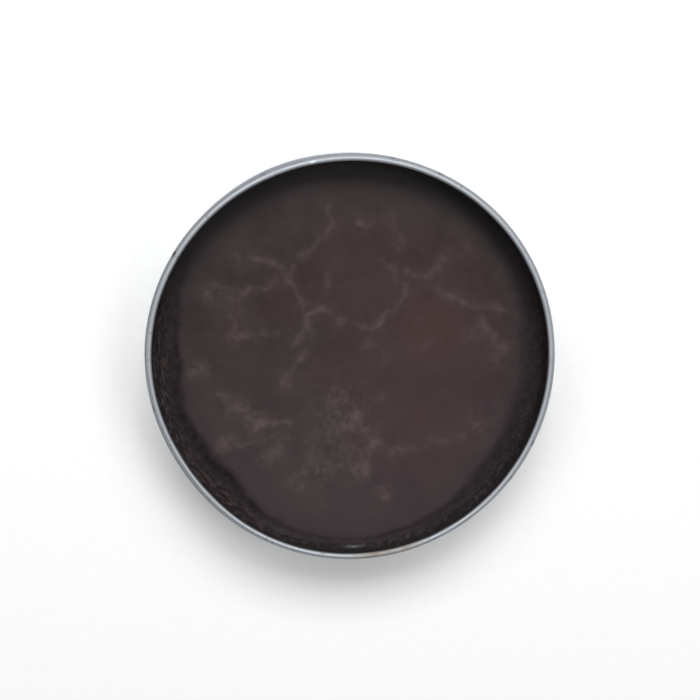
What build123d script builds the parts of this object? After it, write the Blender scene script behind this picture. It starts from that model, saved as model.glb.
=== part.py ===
from build123d import *
import os
from math import cos, radians, tan

# Shoe polish tin: a drawn tinplate base filled with hard wax polish, standing in its own
# upturned lid. Millimetres, +Z up. The origin is the centre of the ring the lid rests on.

# --- Tinplate -------------------------------------------------------------------------
sheet = 0.22             # gauge of the lid and of the base
bend = 0.30              # inside radius of every small bend
corner_bend = 1.80       # inside radius where a panel turns into its wall

# --- Base -----------------------------------------------------------------------------
wall_radius = 42.10      # outside of the plain wall
base_height = 25.00      # standing ring to the top of the rolled edge
curl_bore = 0.33         # inside radius of the rolled edge
curl_turn = 285.0        # how far round the edge is rolled, degrees
bead_proud = 0.42        # how far the snap bead stands out of the wall
bead_flank = 45.0        # slope of the bead's two sides, degrees
bead_land = 0.08         # plain wall between the rolled edge and the bead
ring_flat = 2.20         # width of the flat ring the base stands on
panel_slope = 0.90       # run of the sloped step round a recessed panel

# --- Lid ------------------------------------------------------------------------------
lid_height = 9.00        # resting ring to the trimmed edge of the skirt
lid_fit = 0.05           # radial gap between the lid's bore and the snap bead
lid_recess = 0.40        # how far the lid's panel is set in from its resting ring
panel_inset = 1.50       # how far the lid's panel stops short of the base's panel
panel_clearance = 0.40   # gap between the two panels when the tin stands in the lid

# --- Polish ---------------------------------------------------------------------------
polish_drop = 8.00       # top of the rolled edge down to the polish
scoop_depth = 1.20       # depth of the rubbed hollow along one side of the polish
scoop_half = 3.00        # half the width of the hollow at the surface
scoop_inset = 2.10       # middle of the hollow in from the wall, where it is deepest
scoop_run = 40.0         # angle from its deepest place to where it runs out, degrees
scoop_heading = 205.0    # direction of its deepest place, degrees from +X
film_foot = 0.90         # width of the dried film's foot on the polish
film_rise = 1.40         # height over which the foot thins out
film_skin = 0.16         # thickness of the film on the wall
film_stop = 0.30         # plain wall left between the film and the bead

# --- Sizes worked out from those above ------------------------------------------------
# The sheet is drawn as the line midway through it: "mid" sizes are measured to that line.
mid_bend = bend + sheet / 2
mid_corner = corner_bend + sheet / 2
base_floor = sheet                           # the standing ring rests on the lid's inside
base_top = base_floor + base_height
inner_radius = wall_radius - sheet

mid_wall = wall_radius - sheet / 2
mid_floor = base_floor + sheet / 2
mid_curl = curl_bore + sheet / 2
curl_height = base_top - curl_bore - sheet

bead_peak = bead_proud + mid_bend * (1 / cos(radians(bead_flank)) - 1)
bead_half = bead_peak / tan(radians(bead_flank))
bead_foot = mid_bend * tan(radians(bead_flank / 2))
bead_middle = curl_height - bead_land - bead_foot - bead_half

base_panel = wall_radius - sheet - corner_bend - ring_flat - panel_slope
base_recess = lid_recess + panel_clearance

mid_skirt = wall_radius + bead_proud + lid_fit + sheet / 2
lid_panel = base_panel - panel_inset

polish_level = base_top - polish_drop
film_top = bead_middle - bead_half - bead_foot - film_stop


def bent_line(corners):
    """The middle of a bent sheet, from (radius, height, bend radius) corners."""
    points = [corner[:2] for corner in corners]
    rounds = [corner[2] for corner in corners[1:-1]]
    return FilletPolyline(*points, radius=rounds)


def turned_shell(lines):
    """Sheet laid along joined lines, squared off at the axis and turned about it."""
    laid = make_face(offset(Curve() + lines, sheet / 2, side=Side.BOTH))
    right_of_axis = Rectangle(
        2 * wall_radius, 4 * base_height, align=(Align.MIN, Align.CENTER)
    )
    return revolve(Plane.XZ * (laid & right_of_axis), Axis.Z, 360)


# --- Base shell: from the axis out along the floor, up the wall and into the curl ---------
base_side = bent_line([
    (-sheet, mid_floor + base_recess, 0),
    (base_panel, mid_floor + base_recess, mid_bend),
    (base_panel + panel_slope, mid_floor, mid_bend),
    (mid_wall, mid_floor, mid_corner),
    (mid_wall, bead_middle - bead_half, mid_bend),
    (mid_wall + bead_peak, bead_middle, mid_bend),
    (mid_wall, bead_middle + bead_half, mid_bend),
    (mid_wall, curl_height, 0),
])
base_curl = CenterArc((mid_wall - mid_curl, curl_height), mid_curl, 0, curl_turn)
base_shell = turned_shell([base_side, base_curl])

# --- Lid shell: from the axis out along the panel, and up the skirt to its trimmed edge ---
lid_side = bent_line([
    (-sheet, lid_recess + sheet / 2, 0),
    (lid_panel, lid_recess + sheet / 2, mid_bend),
    (lid_panel + panel_slope, sheet / 2, mid_bend),
    (mid_skirt, sheet / 2, mid_corner),
    (mid_skirt, lid_height - sheet / 2, 0),
])
lid_shell = turned_shell([lid_side])

# --- Polish cake: fills the base to its level, with a hollow rubbed along one side --------
filling = Pos(0, 0, base_floor) * Cylinder(
    wall_radius - sheet / 2,
    polish_level - base_floor,
    align=(Align.CENTER, Align.CENTER, Align.MIN),
)
poured = (filling - base_shell).solids().sort_by(Axis.Z)[-1]

# The hollow is part of a wide ring whose centre lies well to the far side of the axis, so
# it comes in from the wall, is deepest on its heading, and runs out at the wall again.
scoop_offset = (scoop_inset + scoop_half) / (1 - cos(radians(scoop_run)))
scoop_major = inner_radius - scoop_inset + scoop_offset
scoop_minor = (scoop_half**2 + scoop_depth**2) / (2 * scoop_depth)
scoop = Rot(0, 0, scoop_heading) * Pos(
    -scoop_offset, 0, polish_level + scoop_minor - scoop_depth
) * Torus(scoop_major, scoop_minor)
polish_cake = poured - scoop

# --- Dried film: the skin the polish left on the wall as its level went down --------------
film_low = polish_level - scoop_depth
film_edge = ThreePointArc(
    (inner_radius - film_foot, polish_level),
    (inner_radius - film_skin - 0.25 * film_foot, polish_level + 0.25 * film_rise),
    (inner_radius - film_skin, polish_level + film_rise),
)
film_outline = Polyline(
    film_edge @ 1,
    (inner_radius - film_skin, film_top),
    (inner_radius, film_top),
    (inner_radius, film_low),
    (inner_radius - film_foot, film_low),
    film_edge @ 0,
)
film_section = make_face(Plane.XZ * (Curve() + [film_edge, film_outline]))
polish_film = revolve(film_section, Axis.Z, 360) - polish_cake

# --- One STEP file for each piece ---------------------------------------------------------
os.makedirs("parts", exist_ok=True)
pieces = {
    "lid_shell": lid_shell,
    "base_shell": base_shell,
    "polish_cake": polish_cake,
    "polish_film": polish_film,
}
for name, shape in pieces.items():
    export_step(shape, f"parts/{name}.step")
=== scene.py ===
import bpy
import bmesh
from math import atan2, cos, degrees, exp, radians, sin, sqrt, tan, tau
from mathutils import Matrix, Vector, kdtree, noise


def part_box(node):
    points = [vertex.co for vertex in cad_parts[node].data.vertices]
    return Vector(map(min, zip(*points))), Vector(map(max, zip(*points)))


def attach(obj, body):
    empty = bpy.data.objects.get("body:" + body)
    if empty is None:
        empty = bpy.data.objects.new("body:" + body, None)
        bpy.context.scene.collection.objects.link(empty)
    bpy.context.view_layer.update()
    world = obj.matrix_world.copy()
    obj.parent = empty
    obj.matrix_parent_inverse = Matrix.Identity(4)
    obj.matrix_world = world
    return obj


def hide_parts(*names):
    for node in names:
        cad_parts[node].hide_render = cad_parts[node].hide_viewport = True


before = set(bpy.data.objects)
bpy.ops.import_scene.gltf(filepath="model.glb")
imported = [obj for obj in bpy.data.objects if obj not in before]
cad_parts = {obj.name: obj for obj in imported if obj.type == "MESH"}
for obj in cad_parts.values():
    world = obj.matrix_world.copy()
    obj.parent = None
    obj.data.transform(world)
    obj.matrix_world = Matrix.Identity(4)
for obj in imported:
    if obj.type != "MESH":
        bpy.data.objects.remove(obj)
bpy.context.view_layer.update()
MM = 0.001


# ---- Upturned lid ----------------------------------------------------------------------
# The press-on lid, drawn from one disc of 0.22 mm tinplate. Its panel is stepped in from a
# flat ring, and its skirt is plain up to a trimmed edge. It lies on its back, and the tin
# stands in it.
lid_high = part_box("lid_shell")[1]
lid_sheet = 0.22 * MM
lid_small_bend = 0.41 * MM
lid_corner_bend = 1.91 * MM
lid_panel_radius = 35.48 * MM
lid_panel_step = 0.40 * MM
lid_slope = 0.90 * MM
lid_around = 384
bend_steps = 8
merge_within = 0.002 * MM


def lay_sheet(mesh, corners):
    """Lays bent sheet as a line in the XZ plane, from (radius, height, bend radius)."""
    line = [mesh.verts.new((radius, 0, height)) for radius, height, bend in corners]
    for start, stop in zip(line, line[1:]):
        mesh.edges.new((start, stop))
    trims = []
    for before, here, after, corner in zip(line, line[1:], line[2:], corners[1:]):
        turn = (here.co - before.co).angle(after.co - here.co)
        trims.append((here, corner[2] * tan(turn / 2)))
    for here, trim in trims:
        bmesh.ops.bevel(mesh, geom=[here], offset=trim, offset_type='OFFSET',
                        segments=bend_steps, profile=0.5, affect='VERTICES', material=-1)


def turn_full(mesh, around):
    """Turns the drawn line once about the tin's axis: one sector first, then its copies."""
    sectors = 16
    bmesh.ops.spin(mesh, geom=mesh.verts[:] + mesh.edges[:], cent=(0, 0, 0), axis=(0, 0, 1),
                   angle=tau / sectors, steps=around // sectors, use_merge=False)
    bmesh.ops.spin(mesh, geom=mesh.verts[:] + mesh.edges[:] + mesh.faces[:], cent=(0, 0, 0),
                   axis=(0, 0, 1), angle=tau * (sectors - 1) / sectors, steps=sectors - 1,
                   use_duplicate=True)
    bmesh.ops.remove_doubles(mesh, verts=mesh.verts, dist=merge_within)
    bmesh.ops.recalc_face_normals(mesh, faces=mesh.faces)


def finish_piece(mesh, name, material, body):
    """Makes a bmesh an object that rides on its body and takes its finish from a slot."""
    for face in mesh.faces:
        face.smooth = True
    data = bpy.data.meshes.new(name)
    mesh.to_mesh(data)
    mesh.free()
    data.materials.append(material)
    piece = bpy.data.objects.new(name, data)
    bpy.context.scene.collection.objects.link(piece)
    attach(piece, body)
    return piece


def give_thickness(piece, sheet):
    """Thickens a drawn shell evenly to both sides of its middle."""
    wall = piece.modifiers.new("gauge", 'SOLIDIFY')
    wall.thickness = sheet
    wall.offset = 0
    wall.use_even_offset = True


def linear(hex_colour):
    """An sRGB hex colour as linear RGBA."""
    shades = [int(hex_colour[i:i + 2], 16) / 255 for i in (1, 3, 5)]
    return [s / 12.92 if s <= 0.04045 else ((s + 0.055) / 1.055) ** 2.4 for s in shades] + [1]


def add(tree, kind, feeds=None, **settings):
    """Adds a shader node: settings are its own options, feeds its values or links."""
    made = tree.nodes.new(kind)
    for option, value in settings.items():
        setattr(made, option, value)
    for socket, value in (feeds or {}).items():
        if isinstance(value, bpy.types.NodeSocket):
            tree.links.new(value, made.inputs[socket])
        else:
            made.inputs[socket].default_value = value
    return made


def new_material(name):
    """An empty node material: its tree, shader and Object coordinates."""
    material = bpy.data.materials.new(name)
    material.use_nodes = True
    tree = material.node_tree
    shader = tree.nodes["Principled BSDF"]
    place = add(tree, 'ShaderNodeTexCoord').outputs['Object']
    return material, tree, shader, place


# Bright tinplate, cold rolled then tinned: a soft mirror with rolling lines in one
# direction, cloudy where it was handled, and a little bluer than steel. Real rolling lines
# are too fine to show, so they are drawn coarser. The trimmed edge shows the steel's cut
# grain, which scatters light as paint does.
roll_along, roll_across, lid_cloud_pitch = 90, 6000, 120.0     # waves in a metre
cut_grain_starts, cut_grain_full = lid_high.z - 0.12 * MM, lid_high.z - 0.04 * MM
lid_tinplate, tree, shader, place = new_material("tinplate_bright_lid")
along_roll = add(tree, 'ShaderNodeMapping', {'Vector': place, 'Scale': (
    roll_along, roll_across, roll_across)})
rolling = add(tree, 'ShaderNodeTexNoise', {'Vector': along_roll.outputs[0], 'Scale': 1.0,
                                           'Detail': 3.0})
clouds = add(tree, 'ShaderNodeTexNoise', {'Vector': place, 'Scale': lid_cloud_pitch,
                                          'Detail': 4.0})
tint = add(tree, 'ShaderNodeMix', {'Factor': clouds.outputs[0], 'A': linear("#b9bfc6"),
                                   'B': linear("#cfd3d6")}, data_type='RGBA')
tree.links.new(tint.outputs['Result'], shader.inputs['Base Color'])
height = add(tree, 'ShaderNodeSeparateXYZ', {'Vector': place}).outputs['Z']
cut_edge = add(tree, 'ShaderNodeMapRange', {'Value': height, 'From Min': cut_grain_starts,
                                            'From Max': cut_grain_full,
                                            'To Min': 1.0, 'To Max': 0.35})
tree.links.new(cut_edge.outputs[0], shader.inputs['Metallic'])
dull = add(tree, 'ShaderNodeMapRange', {'Value': clouds.outputs[0], 'From Min': 0.3,
                                        'From Max': 0.7, 'To Min': 0.24, 'To Max': 0.42})
tree.links.new(dull.outputs[0], shader.inputs['Roughness'])
relief = add(tree, 'ShaderNodeBump', {'Height': rolling.outputs[0], 'Strength': 0.12,
                                      'Distance': 0.02 * MM})
tree.links.new(relief.outputs[0], shader.inputs['Normal'])

lid_mid_skirt = lid_high.x - lid_sheet / 2
lid = bmesh.new()
lay_sheet(lid, [
    (0, lid_panel_step + lid_sheet / 2, 0),
    (lid_panel_radius, lid_panel_step + lid_sheet / 2, lid_small_bend),
    (lid_panel_radius + lid_slope, lid_sheet / 2, lid_small_bend),
    (lid_mid_skirt, lid_sheet / 2, lid_corner_bend),
    (lid_mid_skirt, lid_high.z, 0),
])
turn_full(lid, lid_around)
lid_piece = finish_piece(lid, "lid_drawn", lid_tinplate, "lid")
give_thickness(lid_piece, lid_sheet)
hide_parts("lid_shell")


# ---- Base ------------------------------------------------------------------------------
# The drawn tinplate base. Its wall carries a snap bead that the lid presses over, and its
# edge is rolled inwards into an open curl, so that the rim is safe to wipe a brush on.
base_low, base_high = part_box("base_shell")
base_sheet = 0.22 * MM
base_small_bend = 0.41 * MM
base_corner_bend = 1.91 * MM
base_wall = 41.99 * MM
base_panel_radius = 36.98 * MM
base_panel_step = 0.80 * MM
base_slope = 0.90 * MM
curl_turn = radians(285)
curl_mid = 0.44 * MM
bead_gap = 0.25 * MM
bead_half = 0.59 * MM
base_around = 480
curl_steps = 24
wall_cuts = 7
held_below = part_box("polish_cake")[1].z
curl_height = base_high.z - base_sheet / 2 - curl_mid
bead_middle = curl_height - bead_gap - bead_half
base_floor = base_low.z + base_sheet / 2

# What handling has done to the wall, in mm and degrees: three low lobes, and one stretch
# that was pressed in.
lobe_depth, lobe_heading = 0.14, 38
pressed_depth, pressed_heading, pressed_half = 0.55, 212, 24


def roll_edge(mesh, centre, angle, steps):
    """Rolls the free end of the sheet round a centre (radius, height), outside first."""
    free = max((v for v in mesh.verts if len(v.link_edges) == 1), key=lambda v: v.co.x)
    made = bmesh.ops.spin(mesh, geom=[free], cent=(centre[0], 0, centre[1]), axis=(0, -1, 0),
                          angle=angle, steps=steps, use_merge=False)
    return next(item for item in made['geom_last'] if isinstance(item, bmesh.types.BMVert))


def eased(low, high, value):
    """0 at low, 1 at high, eased between them."""
    share = min(max((value - low) / (high - low), 0), 1)
    return share * share * (3 - 2 * share)


def out_of_true(direction, height):
    """How far the wall has left its circle at a direction and height. It grows from the wax,
    which holds the wall, to the rim. The bead is stiff: between the lobes it stays round."""
    lobes = lobe_depth * cos(radians(3 * (direction - lobe_heading)))
    lobes -= min(lobes, 0) * exp(-((height - bead_middle) / bead_half) ** 2)
    pressed = pressed_depth * exp(-((direction - pressed_heading) / pressed_half) ** 2)
    return (lobes - pressed) * MM * eased(held_below, curl_height, height)


base = bmesh.new()
lay_sheet(base, [
    (0, base_floor + base_panel_step, 0),
    (base_panel_radius, base_floor + base_panel_step, base_small_bend),
    (base_panel_radius + base_slope, base_floor, base_small_bend),
    (base_wall, base_floor, base_corner_bend),
    (base_wall, bead_middle - bead_half, base_small_bend),
    (base_wall + bead_half, bead_middle, base_small_bend),
    (base_wall, bead_middle + bead_half, base_small_bend),
    (base_wall, curl_height, 0),
])
roll_edge(base, (base_wall - curl_mid, curl_height), curl_turn, curl_steps)
plain_wall = max(base.edges, key=lambda edge: abs(edge.verts[0].co.z - edge.verts[1].co.z))
bmesh.ops.subdivide_edges(base, edges=[plain_wall], cuts=wall_cuts)
turn_full(base, base_around)

# What has happened to the rim: nicks down to the dark steel, each with a direction in
# degrees and how deep it cut, one painted glint, a near-white spot on the curl's crest, and
# the stretch where a loaded brush is wiped, which left a dull smear.
nicks = ((65, 0.5), (79, 0.3), (115, 0.3), (148, 0.9), (193, 0.45), (293, 0.6), (323, 0.8),
         (335, 0.7))
painted_glint_heading = 101
mark_half = 0.6
wiped_direction, wiped_half = 280, 10
# Painted shade darkens the crease over the bead, most on one side, in the nick layer.
crease, crease_half = bead_middle + bead_half, 0.30 * MM
crease_painted_shade, crease_shade_heading = 0.26, 175
soil_layer = base.verts.layers.float.new("soil")
nick_and_crease_shade_layer = base.verts.layers.float.new("nick")
glint_layer = base.verts.layers.float.new("glint")
for vert in base.verts:
    direction = degrees(atan2(vert.co.y, vert.co.x)) % 360
    out = vert.co.xy.length
    if vert.co.z > bead_middle and out > base_wall - 2.5 * curl_mid:
        away = (direction - wiped_direction) / wiped_half
        smear = noise.fractal(Vector((direction * 0.30, vert.co.z / MM * 0.9, 5)), 0.9, 2.1, 3)
        vert[soil_layer] = max(0, exp(-away ** 4) * (0.62 + 0.60 * smear))
        from_crest = (base_wall - curl_mid - out) / (0.4 * curl_mid)
        # Painted glint: a near-white spot painted on the curl's crest.
        vert[glint_layer] = exp(-((direction - painted_glint_heading) / mark_half) ** 2 - from_crest ** 2)
        if out > base_wall - 0.3 * curl_mid:
            vert[nick_and_crease_shade_layer] = max(cut * exp(-((direction - nick) / mark_half) ** 2)
                                   for nick, cut in nicks)
        # Painted shade in the crease over the bead, added to the nicks.
        from_crease = (vert.co.z - crease) / crease_half
        crease_shade = crease_painted_shade + 0.20 * cos(radians(direction - crease_shade_heading))
        vert[nick_and_crease_shade_layer] += crease_shade * exp(-from_crease ** 2)
    if out > base_panel_radius + base_slope:
        moved = 1 + out_of_true(direction, vert.co.z) / out
        vert.co.x, vert.co.y = vert.co.x * moved, vert.co.y * moved

# The same tinplate as the lid, but handled and dulled to a soft blue grey: its rim is
# scuffed by the brush, and dark wax has dried into the scratches.
base_cloud_pitch, speck_pitch = 160.0, 900.0                   # waves in a metre
base_tinplate, tree, shader, place = new_material("tinplate_handled_base")
shader.inputs['Metallic'].default_value = 1.0
clouds = add(tree, 'ShaderNodeTexNoise', {'Vector': place, 'Scale': base_cloud_pitch,
                                          'Detail': 5.0})
tint = add(tree, 'ShaderNodeMix', {'Factor': clouds.outputs[0], 'A': linear("#a2a7ae"),
                                   'B': linear("#bfc3c7")}, data_type='RGBA')
specks = add(tree, 'ShaderNodeTexNoise', {'Vector': place, 'Scale': speck_pitch,
                                          'Detail': 3.0})
grime = add(tree, 'ShaderNodeMapRange', {'Value': specks.outputs[0], 'From Min': 0.62,
                                         'From Max': 0.8, 'To Max': 0.6})
# The nick attribute holds the nicks and the painted shade in the crease over the bead.
nick = add(tree, 'ShaderNodeAttribute', attribute_name="nick")
marks_and_crease_shade = add(tree, 'ShaderNodeMath', {0: grime.outputs[0], 1: nick.outputs['Fac']},
            operation='MAXIMUM')
marked_and_crease_shaded = add(tree, 'ShaderNodeMix', {'Factor': marks_and_crease_shade.outputs[0], 'A': tint.outputs['Result'],
                                     'B': linear("#3c3639")}, data_type='RGBA')
# Painted glint: the base colour goes near white on the curl's crest.
glint = add(tree, 'ShaderNodeAttribute', attribute_name="glint")
glinting = add(tree, 'ShaderNodeMix', {'Factor': glint.outputs['Fac'],
                                       'A': marked_and_crease_shaded.outputs['Result'],
                                       'B': linear("#f2f4f6")}, data_type='RGBA')
soil = add(tree, 'ShaderNodeAttribute', attribute_name="soil")
soiled = add(tree, 'ShaderNodeMix', {'Factor': soil.outputs['Fac'],
                                     'A': glinting.outputs['Result'],
                                     'B': linear("#8b837a")}, data_type='RGBA')
tree.links.new(soiled.outputs['Result'], shader.inputs['Base Color'])
dull = add(tree, 'ShaderNodeMapRange', {'Value': clouds.outputs[0], 'From Min': 0.3,
                                        'From Max': 0.7, 'To Min': 0.54, 'To Max': 0.72})
tree.links.new(dull.outputs[0], shader.inputs['Roughness'])
bare = add(tree, 'ShaderNodeMapRange', {'Value': soil.outputs['Fac'], 'To Min': 1.0,
                                        'To Max': 0.25})
tree.links.new(bare.outputs[0], shader.inputs['Metallic'])
relief = add(tree, 'ShaderNodeBump', {'Height': specks.outputs[0], 'Strength': 0.15,
                                      'Distance': 0.02 * MM})
tree.links.new(relief.outputs[0], shader.inputs['Normal'])

base_piece = finish_piece(base, "base_drawn", base_tinplate, "tin")
give_thickness(base_piece, base_sheet)
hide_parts("base_shell")


# ---- Wax polish ------------------------------------------------------------------------
# The cake of hard wax, poured hot, so that its top is level and pale veins mark where it
# cracked as it set. A brush has worn a ragged, flecked margin along the wall, widest on
# one side, where a smooth groove parts it from the level top.
cake_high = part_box("polish_cake")[1]
cake_level = cake_high.z
cake_radius = cake_high.x - 0.03 * MM
cake_foot = 1.90 * MM
cake_bottom = base_floor + base_panel_step + 0.15 * MM
foot_steps = 4
cake_around = 640
flat_radius = 33.0 * MM
flat_rings, margin_rings = 88, 42

# The worn margin, by direction in degrees from +X. Each row gives the direction, how far
# the wear reaches in from the wall, where its groove lies and how deep it is (all in mm),
# how flecked the shelf behind the groove is, and how darkly the wax there is stained and
# painted with shade, which darkens the corner along the wall and the groove.
margin = [(0, 5.4, 3.0, 0.15, 0.5, 0.55), (15, 5.0, 2.4, 0.15, 0.3, 0.50),
          (35, 4.2, 1.5, 0.10, 0.0, 0.30), (60, 2.6, 1.2, 0.05, 0.0, 0.00),
          (140, 2.6, 1.2, 0.05, 0.0, 0.00), (156, 4.0, 1.8, 0.25, 0.1, 0.40),
          (168, 5.2, 4.0, 0.25, 0.7, 0.85), (180, 6.2, 4.6, 0.35, 0.9, 1.00),
          (196, 6.0, 3.6, 0.40, 0.9, 1.00), (210, 6.3, 3.6, 0.45, 1.0, 1.00),
          (227, 6.6, 4.2, 0.45, 1.0, 1.00), (236, 4.8, 2.8, 0.35, 1.0, 0.85),
          (243, 3.2, 1.6, 0.30, 0.7, 0.45), (256, 2.2, 1.2, 0.15, 0.5, 0.20),
          (271, 1.8, 1.0, 0.12, 0.4, 0.20), (288, 2.4, 1.1, 0.20, 0.3, 0.40),
          (304, 3.2, 1.6, 0.20, 0.5, 0.50), (318, 4.6, 2.4, 0.20, 0.6, 0.70),
          (332, 5.6, 3.2, 0.15, 0.7, 0.75), (360, 5.4, 3.0, 0.15, 0.5, 0.55)]

# How far things stray from that, in mm, each with its waves per mm: the poured level, and
# the margin's edge, in a wide sway and a fine one.
level_wave, level_pitch = 0.06, 0.12
edge_sway, edge_sway_pitch = 0.8, 0.20
edge_fret, edge_fret_pitch = 0.15, 0.6
# The crumbs: waves per mm along the wall and across it, how high they stand, and how far
# they blur the flecked wax, and the stained and painted shade, into what lies beside it.
crumbs_along, crumbs_across = 0.7, 1.8
crumb_height, fleck_blur, stain_and_shade_blur = 0.25, 1.2, 0.4
# Behind its groove the shelf rises back by this share. Painted shade: towards the wall the
# wax is tinted a dark neutral grey, as it looks in shade, from one distance to the other in
# mm, more on the far side, where the wall's shadow falls.
shelf_rise = 0.4
wall_shade_starts, wall_shade_full, wall_shade_share, wall_shade_leaning = 8.5, 1.5, 0.55, 0.35


def margin_at(direction):
    """The margin's row for a direction, eased between the rows on either side of it."""
    for before, after in zip(margin, margin[1:]):
        if direction <= after[0]:
            share = (direction - before[0]) / (after[0] - before[0])
            share *= share * (3 - 2 * share)
            return [low + (high - low) * share for low, high in zip(before[1:], after[1:])]


def cake_relief(x, y):
    """Height of the wax above its level in mm, how flecked it is there, how stained and
    painted with shade, how light its flecks are, with a painted highlight on higher crumbs,
    and how much painted wall shade it takes."""
    out = sqrt(x * x + y * y)
    height = level_wave * noise.noise(Vector((x, y, 1)) * level_pitch)
    if out < flat_radius / MM:
        return height, 0, 0, 0, 0
    direction = degrees(atan2(y, x)) % 360
    reach, groove, depth, rough, stain_and_shade = margin_at(direction)
    from_wall = cake_radius / MM - out
    # Painted shade: a neutral grey towards the wall, leaning to the far side.
    painted_wall_shade = (wall_shade_share + wall_shade_leaning * y / out) * eased(wall_shade_starts, wall_shade_full, from_wall)
    wander = edge_sway * noise.noise(Vector((x, y, 3)) * edge_sway_pitch)
    wander += edge_fret * noise.noise(Vector((x, y, 13)) * edge_fret_pitch)
    inwards = from_wall + wander * min(reach / 6, 1)
    drop = eased(reach, groove, inwards) - shelf_rise * eased(groove, 0.3 * groove, inwards)
    arc = radians(direction) * out
    fleck = noise.fractal(Vector((arc * crumbs_along, out * crumbs_across, 7)), 0.6, 2.1, 4)
    flecked = rough * eased(1.10 * groove, 0.40 * groove, inwards + fleck_blur * fleck)
    # Stain and painted shade: darkens the corner along the wall and the groove.
    stained_and_shaded = stain_and_shade * eased(reach + 1.0, 0.75 * groove + 0.25 * reach,
                            inwards + stain_and_shade_blur * fleck)
    height += (crumb_height * fleck * flecked) - depth * drop
    # The crumb tone follows the crumbs' height: a painted highlight on the higher crumbs.
    return height, flecked, stained_and_shaded, 0.5 + 0.9 * fleck, painted_wall_shade


cake = bmesh.new()
ring_radii = [flat_radius * ring / flat_rings for ring in range(flat_rings)]
ring_radii += [flat_radius + (cake_radius - flat_radius) * ring / margin_rings
               for ring in range(margin_rings + 1)]
spoke = [cake.verts.new((radius, 0, cake_level)) for radius in ring_radii]
for start, stop in zip(spoke, spoke[1:]):
    cake.edges.new((start, stop))
turn_full(cake, cake_around)
rim_edges = [edge for edge in cake.edges if edge.is_boundary]
walls = bmesh.ops.extrude_edge_only(cake, edges=rim_edges)['geom']
low_ring = [item for item in walls if isinstance(item, bmesh.types.BMVert)]
for vert in low_ring:
    vert.co.z = cake_bottom
low_edges = [edge for edge in cake.edges if edge.is_boundary]
bmesh.ops.contextual_create(cake, geom=low_edges)
bmesh.ops.bevel(cake, geom=low_edges, offset=cake_foot, offset_type='OFFSET',
                segments=foot_steps, profile=0.5, affect='EDGES', material=-1)
bmesh.ops.recalc_face_normals(cake, faces=cake.faces)

# The veins, as chains of places on the level top in mm from the axis, each with its
# strength. They part cells about 10 to 25 mm across that set one by one.
veins = [
    (0.7, [(-23, 22), (-20, 21), (-16, 19.5), (-13, 18.5)]),
    (0.9, [(-13, 18.5), (-12, 15), (-10.5, 12), (-10, 9.5), (-10, 6.5), (-11.5, 3)]),
    (0.9, [(-10, 9.5), (-6, 9.5), (-3, 8.5), (0, 7), (5, 6), (8, 9)]),
    (0.9, [(8, 9), (10.5, 11.5), (12, 14), (12.5, 18), (15, 17), (18, 17), (19.5, 21)]),
    (0.9, [(18, 17), (20, 14), (22, 12), (25, 10.5), (29, 10), (33, 10)]),
    (0.5, [(28, 10), (28, 7), (30.5, 4), (31, -3)]),
    (0.7, [(-13, 18.5), (-9.5, 21.5), (-6.5, 24.5), (-4, 27.5), (-4.5, 32)]),
    (0.6, [(10.5, 22), (10.5, 26), (9.5, 28), (6, 28.5), (2, 28)]),
    (0.4, [(9.5, 28), (8.5, 32)]),
    (0.9, [(-9, 1), (-12, -2), (-14, -6)]),
    (0.6, [(3, 3), (6, 1.5), (7, -1)]),
    (0.4, [(6.5, 21), (9.5, 18), (10, 15)]),
    (0.4, [(-5, 18), (-5, 14)]),
    (0.9, [(0, -13), (3, -17), (5, -19), (10, -20.5), (17, -20)]),
    (0.6, [(17, -20), (20, -18.5), (24, -18), (29, -15)]),
    (1.0, [(4, -19), (3.5, -24), (4.5, -28), (8, -31)]),
    (1.0, [(-28, -8), (-25, -11), (-20, -14.5), (-13, -14)]),
    (0.8, [(-13, -26), (-10.5, -28), (-8, -24), (-2, -25)]),
    (0.7, [(-27, -18.5), (-21, -18), (-14, -17.5)]),
    (0.8, [(-25, 9), (-25, 4), (-20, 5.5), (-15, 5)]),
    (0.7, [(-24, 12), (-21, 15), (-15, 16)]),
    (0.3, [(14, 2), (18, 2)]),
    (0.3, [(4, -8), (8, -9)]),
    (0.4, [(-4, -4), (-3, -9), (-1, -13)]),
]
# Paler patches, where the wax bloomed: (x, y, radius, strength), in mm.
patches = [(-32, -2.5, 1.8, 0.9), (-24, -11, 2.0, 0.9), (-20, -14.5, 2.2, 1.0),
           (-27, -18.5, 2.0, 0.8), (-16.5, -21.5, 2.3, 0.8), (-11, -27, 1.8, 0.8),
           (-8, -24, 1.8, 0.5), (-29, 14, 2.5, 0.7), (-23, 12, 2.5, 0.5), (33, 2, 2.2, 0.5),
           (26, 5, 2.5, 0.3), (-1, -13, 3.6, 0.9), (-3, -9, 2.6, 0.5), (2.5, -25, 2.0, 0.7),
           (-10, 6, 2.0, 0.5), (-6, 9.5, 1.6, 0.5), (18, 17, 1.8, 0.5), (-1, -17, 11, 0.30),
           (-6, -25, 6, 0.25), (28, -15, 4, 0.3), (24, 24, 3, 0.25)]
# Redder cells, which set last, in the same form.
warm_cells = [(3, 15, 9, 0.6), (17, 5, 14, 0.9), (2, -3, 8, 0.5), (15, -13, 12, 0.75)]

places_per_mm = 4
vein_places = []
for strength, chain in veins:
    for (x0, y0), (x1, y1) in zip(chain, chain[1:]):
        count = max(2, round(places_per_mm * sqrt((x1 - x0) ** 2 + (y1 - y0) ** 2)))
        vein_places += [(x0 + (x1 - x0) * i / count, y0 + (y1 - y0) * i / count, strength)
                        for i in range(count)]
vein_map = kdtree.KDTree(len(vein_places))
for index, (x, y, strength) in enumerate(vein_places):
    vein_map.insert((x, y, 0), index)
vein_map.balance()

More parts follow.
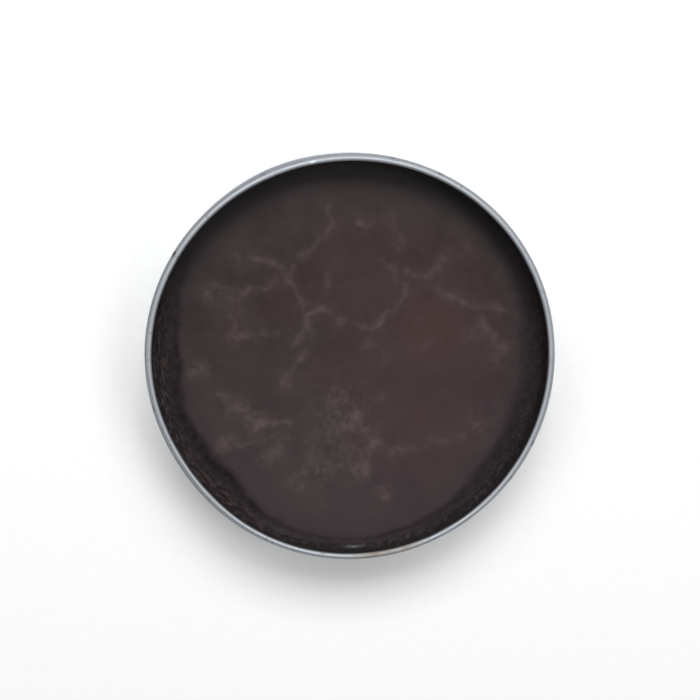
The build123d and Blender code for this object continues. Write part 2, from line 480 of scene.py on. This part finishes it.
# A vein sways off its chain and trembles, in mm, each with its waves per mm. It has a core,
# whose half width varies, and a faint halo. noise_vector needs a seed, or it starts from
# the clock.
vein_sway, sway_pitch = 1.5, 0.3
vein_tremble, tremble_pitch = 0.5, 1.1
vein_half, vein_half_varies = 0.66, 0.30
halo_half, halo_share = 2.2, 0.35
patchy_pitch = 0.3
noise.seed_set(23)
vein_layer = cake.verts.layers.float.new("vein")
bloom_layer = cake.verts.layers.float.new("bloom")
warm_layer = cake.verts.layers.float.new("warm")
fleck_layer = cake.verts.layers.float.new("fleck")
stain_and_shade_layer = cake.verts.layers.float.new("stain_and_shade")
crumb_tone_and_highlight_layer = cake.verts.layers.float.new("crumb_tone_and_highlight")
painted_wall_shade_layer = cake.verts.layers.float.new("painted_wall_shade")
for vert in cake.verts:
    x, y = vert.co.x / MM, vert.co.y / MM
    if vert.co.z < cake_level - 0.01 * MM:
        continue
    relief = cake_relief(x, y)
    vert.co.z += relief[0] * MM
    vert[fleck_layer], vert[stain_and_shade_layer], vert[crumb_tone_and_highlight_layer], vert[painted_wall_shade_layer] = relief[1:]
    sway = noise.noise_vector(Vector((x, y, 11)) * sway_pitch)
    tremble = noise.noise_vector(Vector((x, y, 19)) * tremble_pitch)
    spot = Vector((x + vein_sway * sway.x + vein_tremble * tremble.x,
                   y + vein_sway * sway.y + vein_tremble * tremble.y, 0))
    nearest, index, gap = vein_map.find(spot)
    patchy = noise.fractal(Vector((x, y, 41)) * patchy_pitch, 0.9, 2.0, 3)
    width = vein_half + vein_half_varies * sway.z
    core = exp(-(gap / width) ** 2) + halo_share * exp(-(gap / halo_half) ** 2)
    vert[vein_layer] = vein_places[index][2] * min(max(0.65 + 0.8 * patchy, 0.1), 1.3) * core
    bloom = 0
    for px, py, size, strength in patches:
        apart = ((spot.x - px) ** 2 + (spot.y - py) ** 2) / size ** 2
        if apart < 6:
            bloom += strength * exp(-apart)
    vert[bloom_layer] = bloom * min(max(0.8 + 1.0 * tremble.z + 0.8 * patchy, 0.2), 1.6)
    vert[warm_layer] = max(strength * exp(-((spot.x - px) ** 2 + (spot.y - py) ** 2) / size ** 2)
                           for px, py, size, strength in warm_cells)

# Hard wax polish: a matt dark brown, redder where it set last, with a pale bloom in its
# veins, fine grain in its skin and close parallel wiping marks across it. Real wiping marks
# are too fine to show, so they are drawn coarser.
mottle_pitch, field_pitch = 150.0, 55.0                        # waves in a metre
crumble_pitch, grit_pitch = 600.0, 1400.0
wipe_along, wipe_across = 140, 2400
# Painted shade: the wax is painted darker towards +Y, the back, between these two places on Y.
back_shade_low, back_shade_high = -42 * MM, 16 * MM
wax, tree, shader, place = new_material("wax_polish_dark_brown")
shader.inputs['Roughness'].default_value = 0.72
shader.inputs['IOR'].default_value = 1.44
shader.inputs['Specular IOR Level'].default_value = 0.2
mottle = add(tree, 'ShaderNodeTexNoise', {'Vector': place, 'Scale': mottle_pitch,
                                          'Detail': 7.0, 'Roughness': 0.68})
split = add(tree, 'ShaderNodeSeparateXYZ', {'Vector': place})
# Painted shade: darker towards the back (+Y).
back_shade_share = add(tree, 'ShaderNodeMapRange', {'Value': split.outputs['Y'],
                                          'From Min': back_shade_low, 'From Max': back_shade_high})
back_painted_shade = add(tree, 'ShaderNodeMix', {'Factor': back_shade_share.outputs[0], 'A': linear("#3a3135"),
                                   'B': linear("#271c1b")}, data_type='RGBA')
fields = add(tree, 'ShaderNodeTexNoise', {'Vector': place, 'Scale': field_pitch,
                                          'Detail': 3.0})
violet = add(tree, 'ShaderNodeMapRange', {'Value': fields.outputs[0], 'From Min': 0.35,
                                          'From Max': 0.65, 'To Max': 0.5})
hued = add(tree, 'ShaderNodeMix', {'Factor': violet.outputs[0], 'A': back_painted_shade.outputs['Result'],
                                   'B': linear("#33292f")}, data_type='RGBA')
warm = add(tree, 'ShaderNodeAttribute', attribute_name="warm")
ground = add(tree, 'ShaderNodeMix', {'Factor': warm.outputs['Fac'],
                                     'A': hued.outputs['Result'], 'B': linear("#3d2a2a")},
             data_type='RGBA')
pale_mottle = add(tree, 'ShaderNodeMapRange', {'Value': mottle.outputs[0], 'From Min': 0.25,
                                               'From Max': 0.75, 'To Max': 0.45})
mottled = add(tree, 'ShaderNodeMix', {'Factor': pale_mottle.outputs[0],
                                      'A': ground.outputs['Result'],
                                      'B': linear("#473b39")}, data_type='RGBA')
crumble = add(tree, 'ShaderNodeTexNoise', {'Vector': place, 'Scale': crumble_pitch,
                                           'Detail': 4.0})
crumbled = add(tree, 'ShaderNodeMapRange', {'Value': crumble.outputs[0], 'From Min': 0.25,
                                            'From Max': 0.75, 'To Min': 0.35, 'To Max': 0.95})
vein = add(tree, 'ShaderNodeAttribute', attribute_name="vein")
vein_share = add(tree, 'ShaderNodeMath', {0: vein.outputs['Fac'], 1: crumbled.outputs[0]},
                 operation='MULTIPLY', use_clamp=True)
veined = add(tree, 'ShaderNodeMix', {'Factor': vein_share.outputs[0],
                                     'A': mottled.outputs['Result'],
                                     'B': linear("#4f4342")}, data_type='RGBA')
bloom = add(tree, 'ShaderNodeAttribute', attribute_name="bloom")
powdery = add(tree, 'ShaderNodeMapRange', {'Value': crumble.outputs[0], 'From Min': 0.25,
                                           'From Max': 0.75, 'To Min': 0.50, 'To Max': 0.80})
bloom_share = add(tree, 'ShaderNodeMath', {0: bloom.outputs['Fac'], 1: powdery.outputs[0]},
                  operation='MULTIPLY', use_clamp=True)
bloomed = add(tree, 'ShaderNodeMix', {'Factor': bloom_share.outputs[0],
                                      'A': veined.outputs['Result'],
                                      'B': linear("#514644")}, data_type='RGBA')
# Painted shade: a dark neutral grey towards the wall, most on the far side.
painted_wall_shade = add(tree, 'ShaderNodeAttribute', attribute_name="painted_wall_shade")
wall_shaded = add(tree, 'ShaderNodeMix', {'Factor': painted_wall_shade.outputs['Fac'],
                                     'A': bloomed.outputs['Result'],
                                     'B': linear("#2f2d2e")}, data_type='RGBA')
# Stain and painted shade: dark wax along the wall and in the groove, darkened as shade.
stain_and_shade = add(tree, 'ShaderNodeAttribute', attribute_name="stain_and_shade")
stain_and_shade_grain = add(tree, 'ShaderNodeMapRange', {'Value': crumble.outputs[0], 'From Min': 0.35,
                                               'From Max': 0.65})
stain_and_shade_colour = add(tree, 'ShaderNodeMix', {'Factor': stain_and_shade_grain.outputs[0],
                                           'A': linear("#161415"), 'B': linear("#2a2124")},
                   data_type='RGBA')
stained_and_shaded = add(tree, 'ShaderNodeMix', {'Factor': stain_and_shade.outputs['Fac'],
                                      'A': wall_shaded.outputs['Result'],
                                      'B': stain_and_shade_colour.outputs['Result']}, data_type='RGBA')
fleck = add(tree, 'ShaderNodeAttribute', attribute_name="fleck")
crumb_tone_and_highlight = add(tree, 'ShaderNodeAttribute', attribute_name="crumb_tone_and_highlight")
specks = add(tree, 'ShaderNodeTexNoise', {'Vector': place, 'Scale': grit_pitch,
                                          'Detail': 3.0, 'Roughness': 0.7})
# Painted highlight: crumbs that stand higher are painted lighter, with grit on top.
speckled = add(tree, 'ShaderNodeMath', {0: crumb_tone_and_highlight.outputs['Fac'], 1: specks.outputs[0]})
crumb_tone = add(tree, 'ShaderNodeMapRange', {'Value': speckled.outputs[0],
                                              'From Min': 0.90, 'From Max': 1.55})
fleck_colour = add(tree, 'ShaderNodeMix', {'Factor': crumb_tone.outputs[0],
                                           'A': linear("#221a1b"), 'B': linear("#453b3b")},
                   data_type='RGBA')
flecked = add(tree, 'ShaderNodeMix', {'Factor': fleck.outputs['Fac'],
                                      'A': stained_and_shaded.outputs['Result'],
                                      'B': fleck_colour.outputs['Result']}, data_type='RGBA')
tree.links.new(flecked.outputs['Result'], shader.inputs['Base Color'])
along_wipe = add(tree, 'ShaderNodeMapping', {'Vector': place, 'Scale': (
    wipe_along, wipe_across, 1)})
wiping = add(tree, 'ShaderNodeTexNoise', {'Vector': along_wipe.outputs[0], 'Scale': 1.0,
                                          'Detail': 2.0})
relief = add(tree, 'ShaderNodeBump', {'Height': wiping.outputs[0], 'Strength': 0.6,
                                      'Distance': 0.06 * MM})
grain = add(tree, 'ShaderNodeBump', {'Height': crumble.outputs[0], 'Strength': 0.35,
                                     'Distance': 0.06 * MM, 'Normal': relief.outputs[0]})
tree.links.new(grain.outputs[0], shader.inputs['Normal'])

cake_piece = finish_piece(cake, "wax_cake", wax, "tin")
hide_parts("polish_cake")


# ---- Dried wax on the wall -------------------------------------------------------------
# The skin of wax that stayed on the wall as the level went down. It is thick and flecked
# at its foot, thins out upwards, and ends in a ragged edge near the bead.
film_low, film_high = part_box("polish_film")
film_radius = 41.80 * MM
film_top = film_high.z + 1.2 * MM
film_around, film_cuts = 512, 23
film = bmesh.new()
foot = film.verts.new((film_radius, 0, film_low.z))
head = film.verts.new((film_radius, 0, film_top))
bmesh.ops.subdivide_edges(film, edges=[film.edges.new((foot, head))], cuts=film_cuts)
turn_full(film, film_around)
# Where a brush has rubbed it thin, a bluish grey glint of the tinplate is painted on the
# wax: direction and half width in degrees, height and half height in mm.
rubbed_direction, rubbed_half = 271, 2.2
rubbed_height, rubbed_rise = 18.6, 0.8
# How thick the wax is, in mm: its skin, its foot, which fades out upwards, its lumps, and
# what is worn off near the top. Where it is worn right through, it sinks into the sheet.
skin_thick, foot_thick, foot_fades = 0.10, 0.30, 3.2
lump_thick, lump_pitch, lump_squat = 0.14, 0.9, 0.5
worn_thick, sunk = 0.30, -0.10
heavy_heading, lit_side_heading = radians(130), radians(255)
film_painted_shade_layer = film.verts.layers.float.new("film_painted_shade")
rubbed_glint_layer = film.verts.layers.float.new("rubbed_glint")
for vert in film.verts:
    direction = atan2(vert.co.y, vert.co.x)
    rise = (vert.co.z - film_low.z) / (film_top - film_low.z)
    around = Vector((cos(direction), sin(direction), 0)) * film_radius / MM
    lump_place = Vector((around.x, around.y, vert.co.z / MM * lump_squat)) * lump_pitch
    lump = noise.fractal(lump_place, 0.8, 2.1, 4)
    heavy = 0.55 + 0.45 * sin(direction - heavy_heading)
    thick = skin_thick + foot_thick * exp(-foot_fades * rise) + lump_thick * lump * (0.4 + heavy)
    thick -= worn_thick * eased(0.78, 1.0, rise + 0.25 * lump)
    thick = max(thick, sunk)
    sideways = (degrees(direction) % 360 - rubbed_direction) / rubbed_half
    upways = (vert.co.z / MM - rubbed_height) / rubbed_rise
    # Painted glint where the brush rubbed the wax thin.
    vert[rubbed_glint_layer] = exp(-sideways ** 2 - upways ** 2) * (0.8 + lump)
    # Painted shade: darker up towards the curl and on the side away from the lamps.
    lit_side = eased(-0.1, 0.85, cos(direction - lit_side_heading))
    vert[film_painted_shade_layer] = 1 - (1 - eased(0.25, 0.75, rise + 0.3 * lump)) * (0.35 + 0.65 * lit_side)
    leaning = out_of_true(degrees(direction) % 360, vert.co.z)
    scale = (film_radius - thick * MM + leaning) / film_radius
    vert.co.x *= scale
    vert.co.y *= scale

# Dried polish: the same wax gone hard and dull, a paler brown at its foot with dark
# specks. Painted shade makes it almost black up towards the curl, which shades the top of
# the wall, and on the side away from the lamps.
run_across, run_down = 900, 350                                # waves in a metre
dried, tree, shader, place = new_material("wax_polish_dried")
drawn_down = add(tree, 'ShaderNodeMapping', {'Vector': place, 'Scale': (
    run_across, run_across, run_down)})
crumbs = add(tree, 'ShaderNodeTexNoise', {'Vector': drawn_down.outputs[0], 'Scale': 1.0,
                                          'Detail': 5.0, 'Roughness': 0.6})
crumb_tone = add(tree, 'ShaderNodeMapRange', {'Value': crumbs.outputs[0], 'From Min': 0.42,
                                              'From Max': 0.70})
crumb_colour = add(tree, 'ShaderNodeMix', {'Factor': crumb_tone.outputs[0],
                                           'A': linear("#2c2526"), 'B': linear("#524847")},
                   data_type='RGBA')
# Painted shade: near black up the wall and away from the lamps.
film_painted_shade = add(tree, 'ShaderNodeAttribute', attribute_name="film_painted_shade")
film_shaded = add(tree, 'ShaderNodeMix', {'Factor': film_painted_shade.outputs['Fac'],
                                   'A': crumb_colour.outputs['Result'],
                                   'B': linear("#262424")}, data_type='RGBA')
# Painted glint: a bluish grey spot where the brush rubbed the wax thin.
rubbed_glint = add(tree, 'ShaderNodeAttribute', attribute_name="rubbed_glint")
rubbed_glint_mix = add(tree, 'ShaderNodeMix', {'Factor': rubbed_glint.outputs['Fac'],
                                   'A': film_shaded.outputs['Result'],
                                   'B': linear("#7a8085")}, data_type='RGBA')
tree.links.new(rubbed_glint_mix.outputs['Result'], shader.inputs['Base Color'])
shader.inputs['Roughness'].default_value = 0.65
shader.inputs['Specular IOR Level'].default_value = 0.25
relief = add(tree, 'ShaderNodeBump', {'Height': crumbs.outputs[0], 'Strength': 0.5,
                                      'Distance': 0.08 * MM})
tree.links.new(relief.outputs[0], shader.inputs['Normal'])
film_piece = finish_piece(film, "dried_wax_wall", dried, "tin")
skin = film_piece.modifiers.new("skin", 'SOLIDIFY')
skin.thickness = 0.05 * MM
skin.offset = 1
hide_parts("polish_film")


# ---- Floor, lights and camera ----------------------------------------------------------
# A sheet of matt white paper in a white tent: a broad soft light high behind the tin, made
# of three lamps, a weaker lamp at each side, and even light from all round.
sweep_half = 1.5
fibre_pitch = 400.0                                            # waves in a metre

# Matt white paper: no gloss, and a faint unevenness where its fibres lie closer.
paper, tree, shader, place = new_material("paper_matt_white")
fibres = add(tree, 'ShaderNodeTexNoise', {'Vector': place, 'Scale': fibre_pitch,
                                          'Detail': 2.0})
white = add(tree, 'ShaderNodeMix', {'Factor': fibres.outputs[0], 'A': linear("#f4f4f4"),
                                    'B': linear("#f8f8f8")}, data_type='RGBA')
tree.links.new(white.outputs['Result'], shader.inputs['Base Color'])
shader.inputs['Roughness'].default_value = 0.95
shader.inputs['Specular IOR Level'].default_value = 0.0
sweep = bmesh.new()
bmesh.ops.create_grid(sweep, x_segments=8, y_segments=8, size=sweep_half)
sweep_data = bpy.data.meshes.new("paper_sweep")
sweep.to_mesh(sweep_data)
sweep.free()
sweep_data.materials.append(paper)
floor = bpy.data.objects.new("paper_sweep", sweep_data)
bpy.context.scene.collection.objects.link(floor)

world = bpy.data.worlds.new("white_tent")
bpy.context.scene.world = world
world.use_nodes = True
world.node_tree.nodes["Background"].inputs['Color'].default_value = (1, 1, 1, 1)
world.node_tree.nodes["Background"].inputs['Strength'].default_value = 0.27

# The lamps: name, compass heading and lift in degrees, width and height in metres, watts.
lamps = [("box_back", 90, 55, 0.30, 0.30, 3.7), ("box_back_left", 120, 55, 0.30, 0.30, 1.6),
         ("box_back_right", 60, 55, 0.30, 0.30, 1.5), ("box_right", 5, 64, 0.30, 0.30, 1.45),
         ("box_left", 180, 55, 0.30, 0.30, 0.60)]
lamp_distance = 0.9
rim_centre = Vector((0, 0, base_high.z))
for name, heading, lift, width, height, watts in lamps:
    lamp_data = bpy.data.lights.new(name, 'AREA')
    lamp_data.shape = 'RECTANGLE'
    lamp_data.size, lamp_data.size_y = width, height
    lamp_data.energy = watts
    lamp = bpy.data.objects.new(name, lamp_data)
    turn, rise = radians(heading), radians(lift)
    way = Vector((cos(rise) * cos(turn), cos(rise) * sin(turn), sin(rise)))
    side = Vector((-sin(turn), cos(turn), 0))
    lamp.location = rim_centre + lamp_distance * way
    lamp.rotation_euler = Matrix((side, way.cross(side), way)).transposed().to_euler()
    bpy.context.scene.collection.objects.link(lamp)

# The camera looks at the rim's centre, leaning back from straight down.
camera_distance = 0.240
lean, heading = radians(10.2), radians(112)
camera_data = bpy.data.cameras.new("camera")
camera_data.sensor_width = 36
camera_data.lens = 60
camera_data.shift_x = -0.0035
camera_data.shift_y = 0.0179
camera = bpy.data.objects.new("camera", camera_data)
bpy.context.scene.collection.objects.link(camera)
back = Vector((sin(lean) * cos(heading), sin(lean) * sin(heading), cos(lean)))
up = (Vector((0, 1, 0)) - back.y * back).normalized()
camera.location = rim_centre + camera_distance * back
camera.rotation_euler = Matrix((up.cross(back), up, back)).transposed().to_euler()
bpy.context.scene.camera = camera
bpy.context.scene.view_settings.view_transform = 'Standard'
